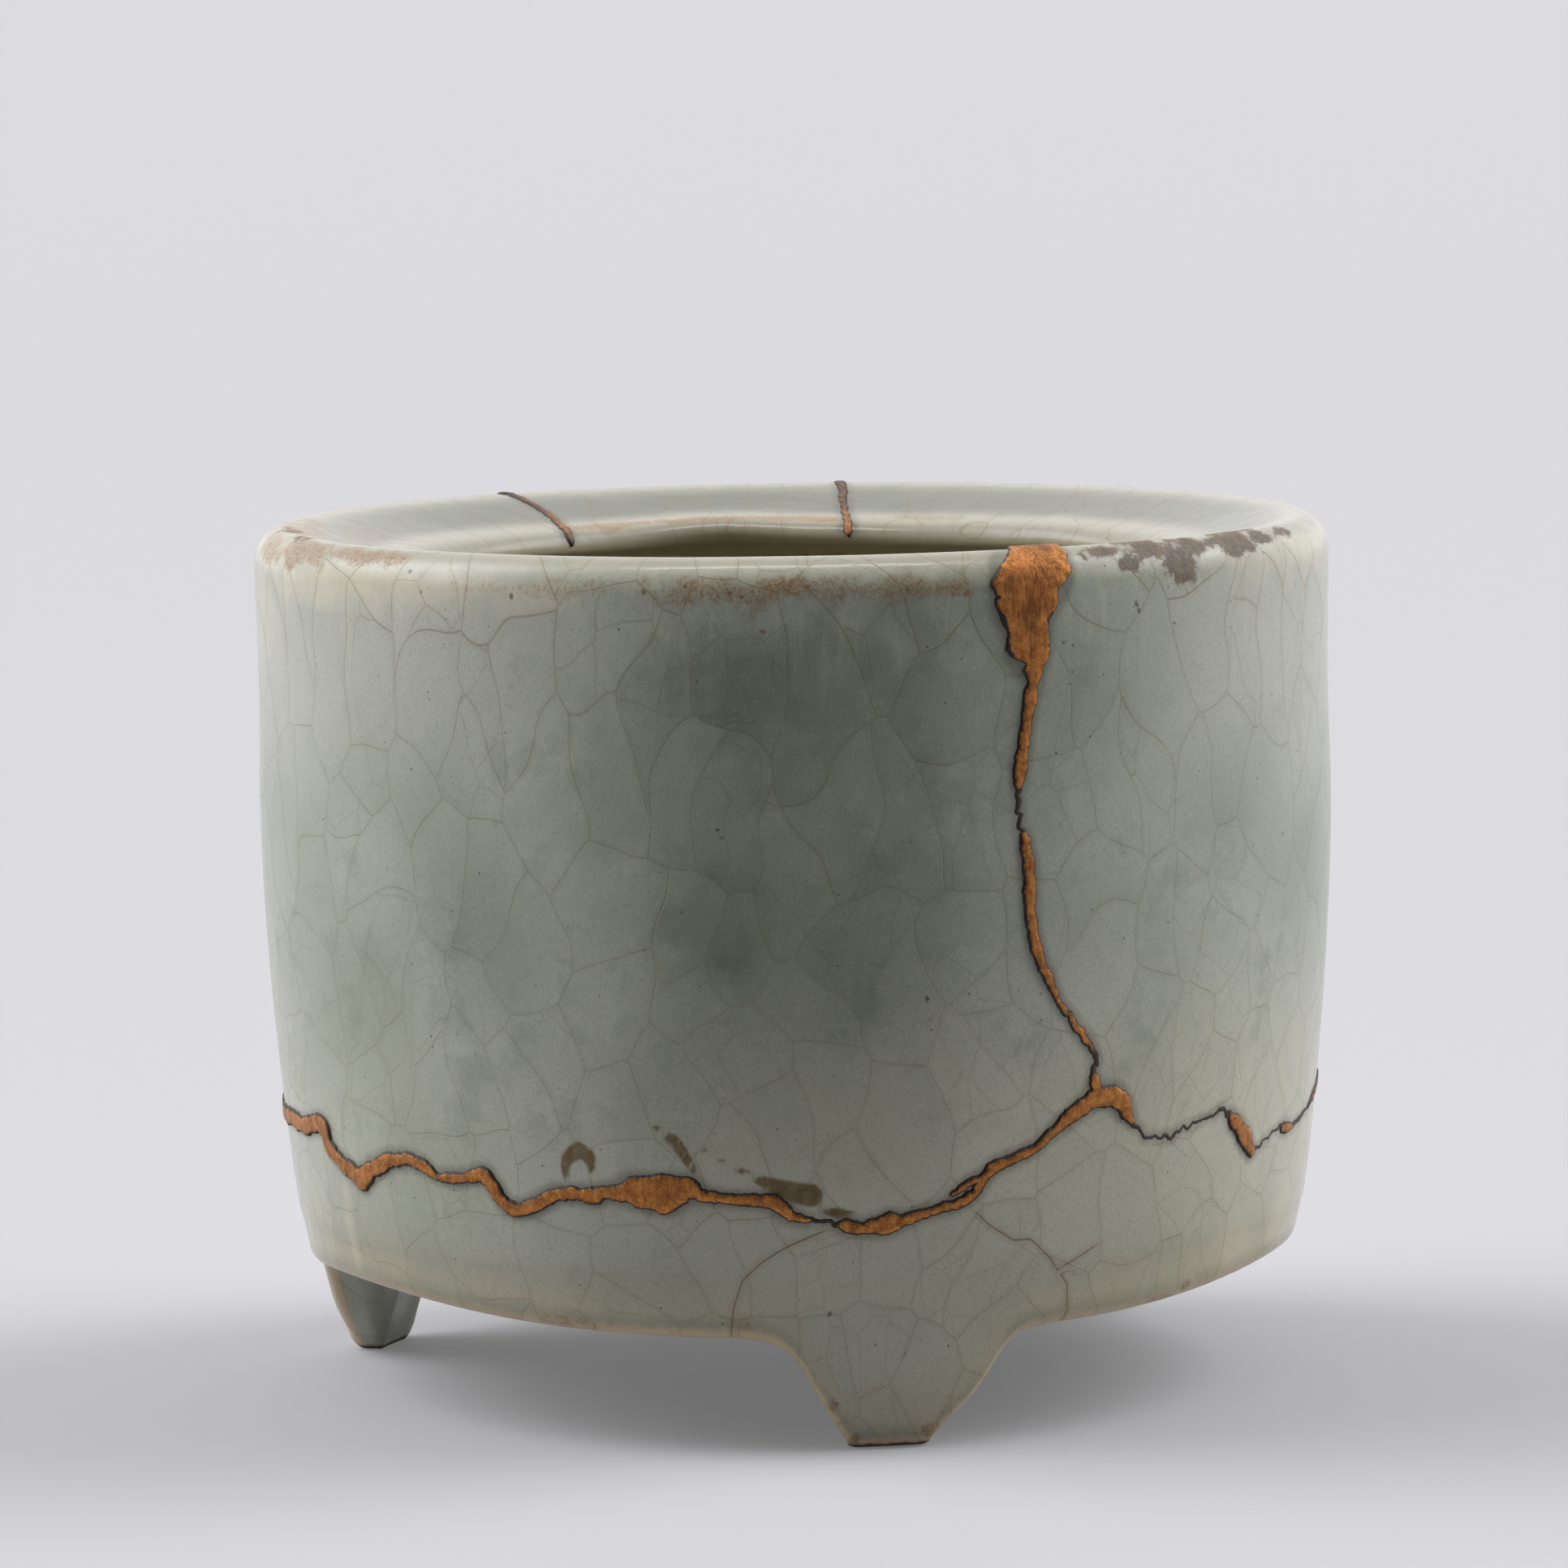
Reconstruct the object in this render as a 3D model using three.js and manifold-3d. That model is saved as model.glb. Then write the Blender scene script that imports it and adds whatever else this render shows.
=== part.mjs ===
// Kintsugi incense burner: a crackle-glazed stoneware censer on three tab feet, with an
// in-turned lip, mended with raised gold lacquer seams and a gold fill at a lost rim chip.
// Millimetres, +Z up, origin on the ground under the middle, front foot towards -Y.
import * as THREE from 'three';
import { mergeVertices } from 'three/addons/utils/BufferGeometryUtils.js';
import Module from 'manifold-3d';

const wasm = await Module();
wasm.setup();

// driving dimensions of the pot
const ridgeHeight = 72;          // highest line of the rim
const ridgeRadius = 43;
const bellyRadius = 45.1;        // widest part of the wall
const mouthRadius = 31.4;        // open circle inside the lip
const wallThickness = 5;
const lipDepth = 5.6;            // from the ridge down to the underside of the lip
const floorTop = 14.4;           // inside of the floor
const baseUnderside = 9;         // underside of the body, between the feet

// The feet by their degrees round from the front one. The lower edge arches a little in the
// gap after each, highest at archPeak, a share of that gap.
const feet = [
  { degrees: 0, archPeak: 0.5 },
  { degrees: 128, archPeak: 0.5 },
  { degrees: 240, archPeak: 0.38 },
];
const archFoot = 9.1;            // height of the lower edge beside a foot
const archRise = 1.7;

// wall radius at a few heights: upright above, drawn in below
const wallStations = [
  [bellyRadius, 68], [bellyRadius - 0.15, 58], [bellyRadius, 47.5], [bellyRadius - 0.45, 36.5],
  [bellyRadius - 1.35, 25.5], [bellyRadius - 2.6, 15],
];

// half of one foot seen from outside: distance from its middle, and height
const footOutline = [
  [3.4, 0], [4, 0.7], [5.4, 3.3], [6.6, 5.3], [8, 6.9], [9.5, 8.2], [11.4, 8.95],
];
const footPitchRadius = 41;      // where those distances are measured
const footFootprint = { outer: 40.2, inner: 37.4, edge: 0.4 };
const spanColumns = 13;          // steps round the wall from one foot to the next

// lacquer seams, inlaid in a shallow key cut in the glaze
const seamProud = 0.3;
const seamDepth = 0.8;
const keyGap = 0.3;
const leastSeamWidth = 0.7;
const rimCurveEnd = 69;          // above this height the skin curves over into the lip
const rimCurveStep = 1.3;        // longest step of a seam on that curve

// The break round the waist: degrees round from the front foot, height, width.
const waistSeam = [
  [-88, 23.2, 1.2], [-80, 23.2, 1.2], [-74.6, 23.8, 1.4], [-73.2, 22, 1.3], [-69, 20.6, 1.2],
  [-66.2, 20.1, 1.6], [-63.5, 21.3, 1.2], [-59, 22.4, 0.9], [-54.5, 22, 0.8], [-52.5, 21.3, 0.7],
  [-46.2, 21.9, 1], [-43.7, 19.7, 0.9], [-41.5, 19.3, 0.9], [-37.3, 20.8, 0.9], [-33, 20.9, 1],
  [-30, 21.2, 1.2], [-28, 21.3, 2.4], [-24.4, 21.2, 2.7], [-21.6, 21.4, 1.5], [-18, 20.8, 0.7],
  [-13.4, 20.7, 1], [-10.8, 19.2, 0.7], [-7, 18.9, 0.7], [-3.7, 18.3, 0.8], [-0.8, 18.7, 1.5],
  [1.4, 19, 0.7], [7.6, 20.2, 0.7], [9.8, 22.2, 0.8], [14.5, 23.8, 0.7], [17.6, 25.3, 0.8],
  [20, 26.6, 1.1], [22.6, 27.7, 1.3], [25, 27.6, 1.6], [26.8, 26.2, 1], [29, 24.2, 0.7],
  [33, 23.6, 0.7], [41.4, 25.2, 0.7], [44, 24, 1], [47.4, 21.6, 1.3], [50.5, 21.2, 0.7],
  [55.5, 22.3, 0.7], [61, 21.8, 0.8], [69, 23.2, 0.9], [78, 24.6, 0.8], [90, 23, 0.8],
  [103, 24.7, 1.1], [114, 22.3, 1.2], [126, 21.4, 0.8], [138, 23.2, 0.8], [150, 25.6, 0.9],
  [162, 26.4, 1.4], [174, 24.4, 0.9], [186, 23.4, 0.8], [197, 24.8, 0.9], [205, 26, 1.4],
  [216, 23.6, 0.8], [229, 21.2, 1], [241, 22.3, 0.8], [253, 24.2, 0.8], [263, 22.8, 1],
  [272, 23.2, 1.2], [273.5, 23.2, 1.2],
];

// The upright break at the front, from the lost rim chip down to the waist. On the lip a
// height above the ridge stands for the distance run inwards from it.
const frontSeam = [
  [16.4, ridgeHeight + 5.5, 1.4], [16.6, ridgeHeight + 3.4, 3.2], [16.5, ridgeHeight, 5],
  [14.9, 69.9, 6.8], [13.9, 68, 5.6], [14.3, 65.7, 3.8], [14.3, 63.9, 3.8], [15.4, 63, 1.5],
  [14.5, 60.3, 0.8], [13, 53.6, 0.8], [13.1, 50.1, 0.7], [14.2, 46, 0.9], [14.4, 42, 0.8],
  [16.2, 38, 0.7], [19.6, 34, 0.7], [22.3, 31, 0.7], [22.4, 27.6, 0.7],
];

// Two more breaks at the back run over the lip and down to the waist.
const rearSeams = [
  [
    [161, ridgeHeight + 11.6, 1.3], [162.2, ridgeHeight + 8, 1.4], [164, ridgeHeight, 1.6],
    [163, 66, 1], [158.5, 58, 0.9], [160.5, 50, 0.9], [165.5, 42, 0.8], [163, 34, 1], [162, 26.4, 1],
  ],
  [
    [207.5, ridgeHeight + 11.6, 1.3], [205, ridgeHeight + 8, 1.4], [206, ridgeHeight, 1.6],
    [208.5, 65, 1], [213, 57, 0.9], [210.5, 48, 0.9], [204, 40, 0.9], [206.5, 32, 0.8], [205, 26, 1],
  ],
];

// The outer skin in section, from inside the mouth over the lip and ridge down to the base.
const skinStations = [
  [mouthRadius + 1, ridgeHeight - lipDepth], [mouthRadius, ridgeHeight - 4.3],
  [mouthRadius + 0.7, ridgeHeight - 3.1], [mouthRadius + 4, ridgeHeight - 2.1],
  [ridgeRadius - 3, ridgeHeight - 0.5], [ridgeRadius - 1, ridgeHeight - 0.05],
  [ridgeRadius, ridgeHeight], [ridgeRadius + 1.4, ridgeHeight - 0.9],
  [bellyRadius, ridgeHeight - 2.6],
  ...wallStations,
  [41.6, 11.2],
];
const ridgeStation = 6;
const skin = new THREE.CatmullRomCurve3(
  skinStations.map(([radius, height]) => new THREE.Vector3(radius, 0, height)), false, 'centripetal');
skin.arcLengthDivisions = 600;
const skinLengths = skin.getLengths();
const skinLength = skin.getLength();
const ridgeRun = skinLengths[ridgeStation * skin.arcLengthDivisions / (skinStations.length - 1)];

// Distance along the skin, from the mouth, of a place given by its height. Above the ridge
// it is the distance inwards over the lip instead.
function runAt(height) {
  if (height >= ridgeHeight) return ridgeRun - (height - ridgeHeight);
  let low = ridgeRun;
  let high = skinLength;
  for (let step = 0; step < 30; step += 1) {
    const middle = (low + high) / 2;
    if (skin.getPointAt(middle / skinLength).z > height) low = middle;
    else high = middle;
  }
  return low;
}

// A point on the skin, raised off it by lift.
function skinPoint(angle, run, lift) {
  const u = THREE.MathUtils.clamp(run / skinLength, 0, 1);
  const at = skin.getPointAt(u);
  const along = skin.getTangentAt(u);
  const radius = at.x - along.z * lift;
  const height = at.z + along.x * lift;
  return new THREE.Vector3(radius * Math.sin(angle), -radius * Math.cos(angle), height);
}

function solidOf(geometry) {
  const bare = geometry.clone();
  bare.deleteAttribute('normal');
  bare.deleteAttribute('uv');
  const merged = mergeVertices(bare, 1e-5);
  const corners = merged.index.array;
  const kept = [];
  for (let i = 0; i < corners.length; i += 3) {
    const [a, b, c] = [corners[i], corners[i + 1], corners[i + 2]];
    if (a !== b && b !== c && c !== a) kept.push(a, b, c);
  }
  return new wasm.Manifold(new wasm.Mesh({
    numProp: 3,
    vertProperties: Float32Array.from(merged.attributes.position.array),
    triVerts: Uint32Array.from(kept),
  }));
}

function geometryOf(solid) {
  const mesh = solid.getMesh();
  const geometry = new THREE.BufferGeometry();
  geometry.setAttribute('position', new THREE.BufferAttribute(mesh.vertProperties, 3));
  geometry.setIndex(new THREE.BufferAttribute(mesh.triVerts, 1));
  geometry.computeVertexNormals();
  return geometry;
}

// The gap that follows each foot, in radians: where it starts and stops, and its arch's peak.
const footGaps = feet.map(({ degrees, archPeak }, i) => ({
  start: THREE.MathUtils.degToRad(degrees),
  stop: THREE.MathUtils.degToRad(i + 1 < feet.length ? feet[i + 1].degrees : 360),
  archPeak,
}));

// Angles of the columns of the wall: close together across each foot, even between feet.
function columnAngles() {
  const reach = footOutline[footOutline.length - 1][0] / footPitchRadius;
  const angles = [];
  for (const { start, stop } of footGaps) {
    for (const [offset] of [...footOutline].reverse()) angles.push(start - offset / footPitchRadius);
    angles.push(start);
    for (const [offset] of footOutline) angles.push(start + offset / footPitchRadius);
    for (let k = 1; k < spanColumns; k += 1) {
      angles.push(start + reach + (stop - start - 2 * reach) * k / spanColumns);
    }
  }
  return angles;
}

// Height of the lower edge all round: on the ground under a foot, and arching a little
// between two feet.
function edgeHeight(angle) {
  const turn = THREE.MathUtils.euclideanModulo(angle, 2 * Math.PI);
  const { start, stop, archPeak } = footGaps.find((gap) => turn <= gap.stop);
  const share = (turn - start) / (stop - start);
  const offset = Math.min(turn - start, stop - turn) * footPitchRadius;
  const leaning = 2 * Math.PI * share ** (Math.log(0.5) / Math.log(archPeak));
  const arch = archFoot + archRise * ((1 - Math.cos(leaning)) / 2) ** 2;
  const [firstOffset] = footOutline[0];
  const [lastOffset, lastHeight] = footOutline[footOutline.length - 1];
  if (offset <= firstOffset + 1e-6) return 0;
  if (offset >= lastOffset + 1e-6) return arch;
  for (let k = 1; k < footOutline.length; k += 1) {
    const [from, fromHeight] = footOutline[k - 1];
    const [to, toHeight] = footOutline[k];
    if (offset <= to + 1e-6) {
      return THREE.MathUtils.lerp(fromHeight, toHeight, (offset - from) / (to - from));
    }
  }
  return lastHeight;
}

// The pot in section, from the middle of the underside round to the middle of the floor.
// The third number says how far a point follows the lower edge down into the feet.
function potSection() {
  const { outer, inner, edge } = footFootprint;
  const insideRadius = bellyRadius - wallThickness;
  const lipUnderside = ridgeHeight - lipDepth;
  const section = [
    [0, baseUnderside - 0.2, 0], [22, baseUnderside - 0.1, 0], [33.6, baseUnderside, 0],
    [35.8, baseUnderside, 0.35], [inner - edge, baseUnderside, 0.95], [inner, baseUnderside, 1],
    [outer, baseUnderside, 1], [outer + edge, baseUnderside + edge, 0.96],
    [41.5, baseUnderside + 1.9, 0.12],
  ];
  const wallHeights = [14.5, 18, 22, 27, 32, 38, 45, 52, 60, 66, 69.4, 70.6, 71.5];
  const lipReaches = [0, 2, 6, 10.4, 11.7, 12.7];
  for (const height of [...wallHeights, ...lipReaches.map((reach) => ridgeHeight + reach)]) {
    const at = skin.getPointAt(runAt(height) / skinLength);
    section.push([at.x, at.z, 0]);
  }
  section.push(
    [mouthRadius + 1, lipUnderside, 0],
    [insideRadius - 3.5, lipUnderside - 0.6, 0], [insideRadius - 0.9, lipUnderside - 1.9, 0],
    [insideRadius, lipUnderside - 5, 0], [insideRadius - 0.1, 46, 0], [insideRadius - 1.2, 30, 0],
    [insideRadius - 3, floorTop + 4, 0], [insideRadius - 4.6, floorTop + 1.2, 0],
    [insideRadius - 8, floorTop, 0], [0, floorTop, 0],
  );
  return section;
}

function potSolid() {
  const section = potSection();
  const angles = columnAngles();
  const points = section.map(([radius, height]) => new THREE.Vector2(radius, height));
  const lathe = new THREE.LatheGeometry(points, angles.length);
  const position = lathe.attributes.position;
  for (let column = 0; column <= angles.length; column += 1) {
    const angle = angles[column % angles.length];
    const drop = edgeHeight(angle) - baseUnderside;
    section.forEach(([radius, height, follow], row) => {
      position.setXYZ(column * section.length + row,
        radius * Math.sin(angle), -radius * Math.cos(angle), height + drop * follow);
    });
  }
  return solidOf(lathe);
}

// The places of a break on the unrolled wall, with more of them where it goes over the rim.
function unrolledSeam(places) {
  const given = places.map(([degrees, height, width]) => ({
    arc: THREE.MathUtils.degToRad(degrees) * bellyRadius,
    run: runAt(height),
    half: Math.max(width, leastSeamWidth) / 2,
  }));
  const curveEnd = runAt(rimCurveEnd);
  const unrolled = [given[0]];
  for (let i = 1; i < given.length; i += 1) {
    const [from, to] = [given[i - 1], given[i]];
    const onCurve = Math.min(from.run, to.run) < curveEnd;
    const steps = onCurve ? Math.ceil(Math.abs(to.run - from.run) / rimCurveStep) : 1;
    for (let k = 1; k <= steps; k += 1) {
      unrolled.push({
        arc: THREE.MathUtils.lerp(from.arc, to.arc, k / steps),
        run: THREE.MathUtils.lerp(from.run, to.run, k / steps),
        half: THREE.MathUtils.lerp(from.half, to.half, k / steps),
      });
    }
  }
  return unrolled;
}

// A ribbon of lacquer along a break. The across direction is square to the run of the
// break on the unrolled wall, and grow widens and deepens it for the key cut in the pot.
function seamSolid(places, grow) {
  const unrolled = unrolledSeam(places);
  const last = unrolled.length - 1;
  const ribbon = new THREE.BoxGeometry(1, 1, 1, 1, 1, last);
  const position = ribbon.attributes.position;
  for (let i = 0; i < position.count; i += 1) {
    const station = Math.round((position.getZ(i) + 0.5) * last);
    const here = unrolled[station];
    const before = unrolled[Math.max(station - 1, 0)];
    const after = unrolled[Math.min(station + 1, last)];
    const heading = new THREE.Vector2(after.arc - before.arc, after.run - before.run).normalize();
    const side = 2 * position.getX(i) * (here.half + grow);
    const lift = position.getY(i) > 0 ? seamProud + 4 * grow : -seamDepth - grow;
    const point = skinPoint(
      (here.arc + heading.y * side) / bellyRadius, here.run - heading.x * side, lift);
    position.setXYZ(i, point.x, point.y, point.z);
  }
  const solid = solidOf(ribbon);
  return solid.volume() < 0 ? solidOf(turnedOut(ribbon)) : solid;
}

// The same box with its faces turned round.
function turnedOut(geometry) {
  const corners = geometry.index.array;
  for (let i = 0; i < corners.length; i += 3) {
    [corners[i], corners[i + 1]] = [corners[i + 1], corners[i]];
  }
  return geometry;
}

function seamWeb(grow) {
  return [waistSeam, frontSeam, ...rearSeams]
    .map((places) => seamSolid(places, grow))
    .reduce((web, seam) => web.add(seam));
}

const glaze = new THREE.MeshStandardMaterial({
  name: 'celadon_glaze', color: 0x8f9486, roughness: 0.28, metalness: 0,
});
const goldLacquer = new THREE.MeshStandardMaterial({
  name: 'gold_lacquer', color: 0xb07132, roughness: 0.5, metalness: 0.6,
});

const vessel = new THREE.Mesh(geometryOf(potSolid().subtract(seamWeb(keyGap))), glaze);
vessel.name = 'vessel';

const seams = new THREE.Mesh(geometryOf(seamWeb(0)), goldLacquer);
seams.name = 'gold_lacquer_seams';

const incenseBurner = new THREE.Group();
incenseBurner.add(vessel, seams);

export default incenseBurner;
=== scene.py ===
import math
from bisect import bisect_right

import bmesh
import bpy
from mathutils import Matrix, Vector, noise
from mathutils.kdtree import KDTree


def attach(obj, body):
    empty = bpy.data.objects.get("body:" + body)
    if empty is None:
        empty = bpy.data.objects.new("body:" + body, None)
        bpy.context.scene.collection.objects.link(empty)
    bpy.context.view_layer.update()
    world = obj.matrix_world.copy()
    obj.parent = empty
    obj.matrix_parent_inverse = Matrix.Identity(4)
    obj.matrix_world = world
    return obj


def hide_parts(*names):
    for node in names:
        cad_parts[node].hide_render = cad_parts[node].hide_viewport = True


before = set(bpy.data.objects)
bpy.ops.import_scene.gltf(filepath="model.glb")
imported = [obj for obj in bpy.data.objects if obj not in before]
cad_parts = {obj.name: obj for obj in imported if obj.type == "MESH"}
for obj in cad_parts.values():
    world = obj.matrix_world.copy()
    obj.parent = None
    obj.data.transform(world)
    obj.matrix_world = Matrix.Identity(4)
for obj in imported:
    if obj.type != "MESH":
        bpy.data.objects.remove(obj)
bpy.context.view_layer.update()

mm = 0.001
print("kintsugi incense burner: frame loaded")


def blendValue(low, high, share):
    return low + (high - low) * share


def easeStep(value, low, high):
    share = min(1.0, max(0.0, (value - low) / (high - low)))
    return share * share * (3 - 2 * share)


# The camera stands a little left of the front foot and looks slightly down.
cameraSetup = {
    "azimuth": 10.139,     # degrees left of the front foot
    "distance": 0.7,
    "height": 0.12267,
    "pitch": 5.968,        # degrees down
    "yaw": -0.076,
    "roll": 0.887,
    "lens": 191.79,
    "sensor": 36.0,
}


def aimCamera(setup):
    yaw, pitch, roll = (math.radians(setup[name]) for name in ("yaw", "pitch", "roll"))
    ahead = Vector((math.cos(pitch) * math.sin(yaw), math.cos(pitch) * math.cos(yaw), -math.sin(pitch)))
    level = Vector((math.cos(yaw), -math.sin(yaw), 0.0))
    above = level.cross(ahead)
    right = level * math.cos(roll) - above * math.sin(roll)
    up = level * math.sin(roll) + above * math.cos(roll)
    turn = Matrix.Rotation(-math.radians(setup["azimuth"]), 4, "Z")
    data = bpy.data.cameras.new("productCamera")
    data.lens, data.sensor_width = setup["lens"], setup["sensor"]
    data.clip_start, data.clip_end = 0.01, 50
    camera = bpy.data.objects.new("productCamera", data)
    bpy.context.collection.objects.link(camera)
    axes = Matrix((right, up, -ahead)).transposed().to_4x4()
    stand = Matrix.Translation((0, -setup["distance"], setup["height"]))
    camera.matrix_world = turn @ stand @ axes
    bpy.context.scene.camera = camera


aimCamera(cameraSetup)

# Everything on the pot is in millimetres here and turned to metres when a mesh is made.
pot = {
    "ridgeHeight": 72.0,
    "ridgeStation": 6,
    "bellyRadius": 45.1,
    # the outer skin in section, (radius, height), from inside the mouth down to the base
    "skin": [(32.4, 66.4), (31.4, 67.7), (32.1, 68.9), (35.4, 69.9), (40, 71.5), (42, 71.95), (43, 72),
             (44.4, 71.1), (45.1, 69.4), (45.1, 68), (44.95, 58), (45.1, 47.5), (44.65, 36.5),
             (43.75, 25.5), (42.5, 15), (41.6, 11.2)],
    "inside": [(32.4, 66.4), (36.6, 65.8), (39.2, 64.5), (40.1, 61.4), (40, 46), (38.9, 30),
               (37.1, 18.4), (35.5, 15.6), (32.1, 14.4), (0, 14.4)],
    "lowerFace": [(42.5, 15), (41.6, 11.2), (41.4, 9.8), (41.05, 6), (40.6, 1), (40.5, 0)],
    "skinFoot": 14.5,      # below this height the wall runs down into edge and feet
    # each foot in degrees round from the front one, and where in the gap after it the lower
    # edge arches highest
    "feet": [(0, 0.5), (128, 0.5), (240, 0.38)],
    "footPitch": 41.0,     # radius at which the foot outlines are measured
    "footLeft": [(0, 0), (2.8, 0), (3.6, 0.15), (4.1, 1), (5.3, 2.9), (6.3, 4.5), (7.2, 6.3), (8.1, 7.5),
                 (9.3, 8.4), (10.8, 8.9), (13, 9.18)],
    "footRight": [(0, 0), (2.3, 0), (3.1, 0.15), (3.8, 1), (5.3, 2.3), (6.9, 3.8), (8.4, 5.8), (9.6, 7.5),
                  (10.8, 8.5), (12.3, 8.95), (14.5, 9.18)],
    "footInside": [(33, 0), (34.6, 0.12), (35.7, 0.33), (36.6, 0.62), (37.4, 0.93), (37.9, 1)],
    "underside": 9.0,
    "archFoot": 9.1,       # height of the lower edge beside a foot
    "archRise": 1.7,       # how far it arches up between two feet
    "edgeRound": 1.3,
    "columns": 570,
    "edgeRows": 24,
    "rimRowStep": 0.5,
    "wallRowStep": 0.87,
    "throwingWave": 0.1,   # how uneven the thrown wall is
    "lipBump": {"angle": 181.0, "spread": 9.0, "rise": 0.5},
}


# A smooth centripetal curve through the stations.
def threadCurve(stations, steps=24):
    points = [Vector(place) for place in stations]
    points = [2 * points[0] - points[1]] + points + [2 * points[-1] - points[-2]]
    curve = [points[1].copy()]
    for i in range(1, len(points) - 2):
        before, start, stop, after = points[i - 1:i + 3]
        gapA, gapB, gapC = ((b - a).length ** 0.5 for a, b in ((before, start), (start, stop), (stop, after)))
        leave = ((start - before) / gapA - (stop - before) / (gapA + gapB) + (stop - start) / gapB) * gapB
        reach = ((stop - start) / gapB - (after - start) / (gapB + gapC) + (after - stop) / gapC) * gapB
        for k in range(1, steps + 1):
            t = k / steps
            curve.append(start + leave * t + (3 * (stop - start) - 2 * leave - reach) * t ** 2
                         + (2 * (start - stop) + leave + reach) * t ** 3)
    return curve


skinSteps = 60
skinCurve = threadCurve(pot["skin"], skinSteps)
skinRuns = [0.0]
for i in range(1, len(skinCurve)):
    skinRuns.append(skinRuns[-1] + (skinCurve[i] - skinCurve[i - 1]).length)
ridgeRun = skinRuns[pot["ridgeStation"] * skinSteps]
insideCurve = threadCurve(pot["inside"], 6)
lowerCurve = threadCurve(pot["lowerFace"])
leftOutline, rightOutline = threadCurve(pot["footLeft"]), threadCurve(pot["footRight"])


# Reads a curve of (key, value) points; the keys run one way.
def readCurve(curve, key, keyAxis, valueAxis):
    for low, high in zip(curve, curve[1:]):
        a, b = low[keyAxis], high[keyAxis]
        if min(a, b) <= key <= max(a, b) and a != b:
            return blendValue(low[valueAxis], high[valueAxis], (key - a) / (b - a))
    return curve[-1][valueAxis]


# Distance along the skin of a height. Above the ridge it is the distance inwards over the lip.
def runAt(height):
    if height >= pot["ridgeHeight"]:
        return ridgeRun - (height - pot["ridgeHeight"])
    for i in range(pot["ridgeStation"] * skinSteps, len(skinCurve) - 1):
        if skinCurve[i + 1].y <= height:
            share = (skinCurve[i].y - height) / (skinCurve[i].y - skinCurve[i + 1].y)
            return blendValue(skinRuns[i], skinRuns[i + 1], share)
    return skinRuns[-1]


# Radius and height of a place on the skin, and which way is out of it.
def skinAt(run):
    i = min(max(bisect_right(skinRuns, run) - 1, 0), len(skinRuns) - 2)
    share = (run - skinRuns[i]) / (skinRuns[i + 1] - skinRuns[i])
    at = skinCurve[i].lerp(skinCurve[i + 1], share)
    along = (skinCurve[i + 1] - skinCurve[i]).normalized()
    return at, Vector((-along.y, along.x))


def onPot(angle, radius, height):
    return Vector((radius * math.sin(angle), -radius * math.cos(angle), height))


# Height of the lower edge at an angle round from the front foot.
def edgeHeight(angle):
    turn = math.degrees(angle) % 360
    feet = [*pot["feet"], (360, 0)]
    start, peak, stop = next((a[0], a[1], b[0]) for a, b in zip(feet, feet[1:]) if turn <= b[0])
    for apart, outline in ((turn - start, rightOutline), (stop - turn, leftOutline)):
        offset = math.radians(apart) * pot["footPitch"]
        if offset < outline[-1].x:
            return max(0.0, readCurve(outline, offset, 0, 1))
    leaning = ((turn - start) / (stop - start)) ** (math.log(0.5) / math.log(peak))
    swell = (1 - math.cos(2 * math.pi * leaning)) / 2
    return pot["archFoot"] + pot["archRise"] * swell ** 2


columnTurn = 2 * math.pi / pot["columns"]
edgeHeights = [edgeHeight(k * columnTurn) for k in range(pot["columns"])]


# Slow unevenness of the thrown clay, in millimetres, never outwards.
def throwingDip(angle, height):
    around = Vector((math.sin(angle) * 1.1, math.cos(angle) * 1.1, height * 0.022))
    near = Vector((math.sin(angle) * 4.2, math.cos(angle) * 4.2, height * 0.09 + 7))
    return pot["throwingWave"] * max(0.2, 0.6 + 0.7 * noise.noise(around) + 0.25 * noise.noise(near))


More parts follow.
